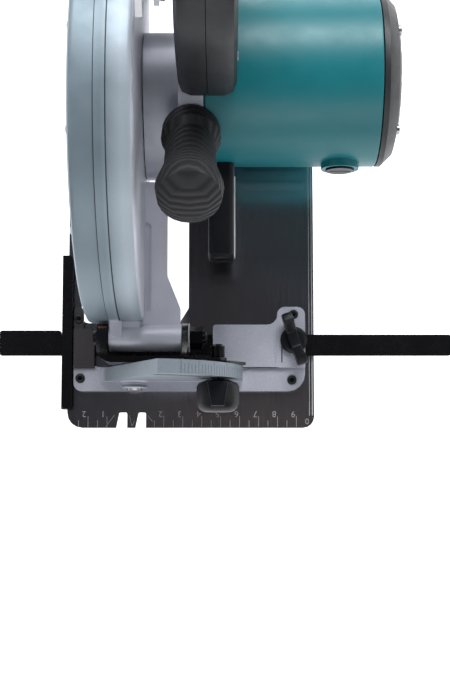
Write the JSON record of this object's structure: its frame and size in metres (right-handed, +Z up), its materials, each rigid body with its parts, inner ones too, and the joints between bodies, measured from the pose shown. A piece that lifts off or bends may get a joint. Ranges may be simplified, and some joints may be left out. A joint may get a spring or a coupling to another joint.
{
  "type": "plunge circular saw",
  "caption": "Hand-held circular saw at full cutting depth, with bevel quadrant, drop-foot depth arc, retracting blade guard, D handle and sliding rip guide.",
  "frame": {"origin": "on the underside of the sole, in the blade plane, below the depth pivot axis", "axes": "+X towards the motor, -Y towards the front of the saw, +Z up from the sole"},
  "size_m": [0.239, 0.2896, 0.2427],
  "materials": {
    "sole_steel": "polished dark",
    "cast_aluminium": "die cast",
    "guard_paint": "satin silver paint",
    "zinc_steel": "zinc plated",
    "blade_steel": "ground",
    "guard_steel": "satin",
    "yoke_paint": "gloss black",
    "knob_plastic": "satin",
    "housing_plastic": "satin",
    "handle_plastic": "textured",
    "grip_rubber": "soft matte",
    "lens": "clear",
    "copper": "enamelled winding",
    "laminations": "lacquered sheet",
    "carbon": "pressed carbon"
  },
  "bodies": {
    "base": {"base_plate": "sole_steel", "front_bracket": "cast_aluminium", "bracket_screw_1": "zinc_steel", "bracket_screw_2": "zinc_steel", "bracket_screw_3": "zinc_steel", "bracket_screw_4": "zinc_steel", "front_bevel_pin": "zinc_steel", "rear_bracket": "zinc_steel", "rear_bevel_pin": "zinc_steel"},
    "guide": {"guide_bar": "yoke_paint", "guide_fence": "yoke_paint"},
    "guide_clamp": {"guide_screw": "knob_plastic"},
    "swivel": {"front_swivel_bracket": "yoke_paint", "bevel_stop_arm": "yoke_paint", "depth_pivot_bolt": "zinc_steel", "depth_pivot_nut": "zinc_steel", "rear_swivel_bracket": "yoke_paint", "depth_arc": "zinc_steel"},
    "bevel_clamp": {"bevel_knob": "knob_plastic", "bevel_stud": "zinc_steel"},
    "depth_clamp": {"depth_lever": "knob_plastic", "depth_stud": "zinc_steel"},
    "saw": {"blade_case": "guard_paint", "gear_case": "cast_aluminium", "bearing_plate": "cast_aluminium", "motor_housing": "housing_plastic", "motor_end_cover": "handle_plastic", "brush_cap_1": "knob_plastic", "brush_cap_2": "knob_plastic", "brush_1": "carbon", "brush_2": "carbon", "stator": "laminations", "spindle_bearing_front": "zinc_steel", "spindle_bearing_rear": "zinc_steel", "armature_bearing_front": "zinc_steel", "armature_bearing_rear": "zinc_steel", "handle_left": "handle_plastic", "handle_right": "handle_plastic", "grip_overmould": "grip_rubber", "switch_body": "knob_plastic", "power_inlet": "handle_plastic", "front_grip": "handle_plastic", "light_housing": "knob_plastic", "light_lens": "lens"},
    "lower_guard_body": {"lower_guard": "guard_steel", "guard_lever": "knob_plastic"},
    "spindle_body": {"spindle": "zinc_steel", "output_gear": "laminations", "inner_flange": "zinc_steel", "blade": "blade_steel", "outer_flange": "zinc_steel", "blade_bolt": "zinc_steel"},
    "armature": {"armature_shaft": "zinc_steel", "armature_core": "copper", "commutator": "copper", "cooling_fan": "knob_plastic"},
    "trigger_body": {"trigger": "grip_rubber"},
    "lock_off_body": {"lock_off": "grip_rubber"},
    "shaft_lock_body": {"shaft_lock": "knob_plastic"}
  },
  "joints": [
    {"name": "guide_slide", "type": "slide", "parent": "base", "child": "guide", "axis": [-1, 0, 0], "range_m": [0, 0.11]},
    {"name": "guide_clamp_turn", "type": "hinge", "parent": "base", "child": "guide_clamp", "pos_m": [0.0884, 0.0012, 0.009], "axis": [0, 0, 1], "range_deg": [0, 180]},
    {"name": "bevel_tilt", "type": "hinge", "parent": "base", "child": "swivel", "pos_m": [0.005, 0, 0.012], "axis": [0, -1, 0], "range_deg": [0, 45]},
    {"name": "bevel_clamp_turn", "type": "hinge", "parent": "swivel", "child": "bevel_clamp", "pos_m": [0.0487, -0.02, 0.0302], "axis": [0, 1, 0], "range_deg": [0, 90]},
    {"name": "depth_swing", "type": "hinge", "parent": "swivel", "child": "saw", "pos_m": [0.01, 0, 0.032], "axis": [1, 0, 0], "range_deg": [0, 37]},
    {"name": "depth_clamp_turn", "type": "hinge", "parent": "saw", "child": "depth_clamp", "pos_m": [0.02, 0.18399, 0.05134], "axis": [-1, 0, 0], "range_deg": [0, 50]},
    {"name": "guard_retract", "type": "hinge", "parent": "saw", "child": "lower_guard_body", "pos_m": [0, 0.109, 0.03], "axis": [1, 0, 0], "range_deg": [0, 105], "stiffness_Nm_per_rad": 0.35, "springref_deg": -22.92},
    {"name": "spindle_spin", "type": "hinge", "parent": "saw", "child": "spindle_body", "pos_m": [0, 0.109, 0.03], "axis": [1, 0, 0], "continuous": true},
    {"name": "armature_spin", "type": "hinge", "parent": "saw", "child": "armature", "pos_m": [0.07, 0.129, 0.04814], "axis": [1, 0, 0], "continuous": true},
    {"name": "trigger_press", "type": "hinge", "parent": "saw", "child": "trigger_body", "pos_m": [0.044, 0.152, 0.154], "axis": [1, 0, 0], "range_deg": [0, 6], "stiffness_Nm_per_rad": 1.5, "springref_deg": -8.59},
    {"name": "lock_off_press", "type": "slide", "parent": "saw", "child": "lock_off_body", "axis": [1, 0, 0], "range_m": [0, 0.003], "stiffness_N_per_m": 600, "springref_m": -0.001},
    {"name": "shaft_lock_press", "type": "slide", "parent": "saw", "child": "shaft_lock_body", "axis": [0, 1, 0], "range_m": [0, 0.003], "stiffness_N_per_m": 600, "springref_m": -0.001}
  ],
  "couplings": [
    {"joint": "armature_spin", "follows": "spindle_spin", "ratio": -4}
  ]
}
